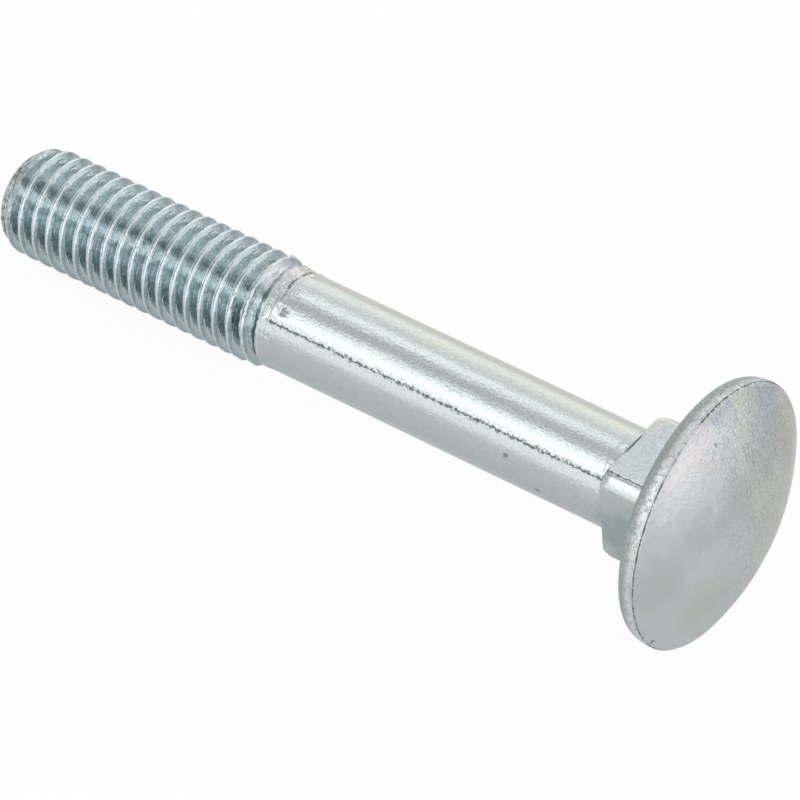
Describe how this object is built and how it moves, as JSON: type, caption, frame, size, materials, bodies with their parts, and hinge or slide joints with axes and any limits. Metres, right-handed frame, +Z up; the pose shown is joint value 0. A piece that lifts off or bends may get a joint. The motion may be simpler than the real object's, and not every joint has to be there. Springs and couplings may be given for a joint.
{
  "type": "carriage bolt",
  "caption": "Carriage bolt with a shallow domed head, a square neck, a reduced plain shank and a right-hand threaded end with a rounded point, lying on its side.",
  "frame": {"origin": "on the ground, under the middle of the lying bolt's box", "axes": "+Z up; +X along the ground from the tip to the domed head, in the vertical plane of the bolt's axis; the axis itself rises 5.3 degrees towards the head"},
  "size_m": [0.076, 0.0238, 0.0238],
  "materials": {
    "zinc_plate": "bright zinc plate with a thin blue-clear passivation, satin on the forged head, brighter on the drawn shank and rolled thread"
  },
  "bodies": {
    "root": {"bolt": "zinc_plate"}
  },
  "joints": []
}
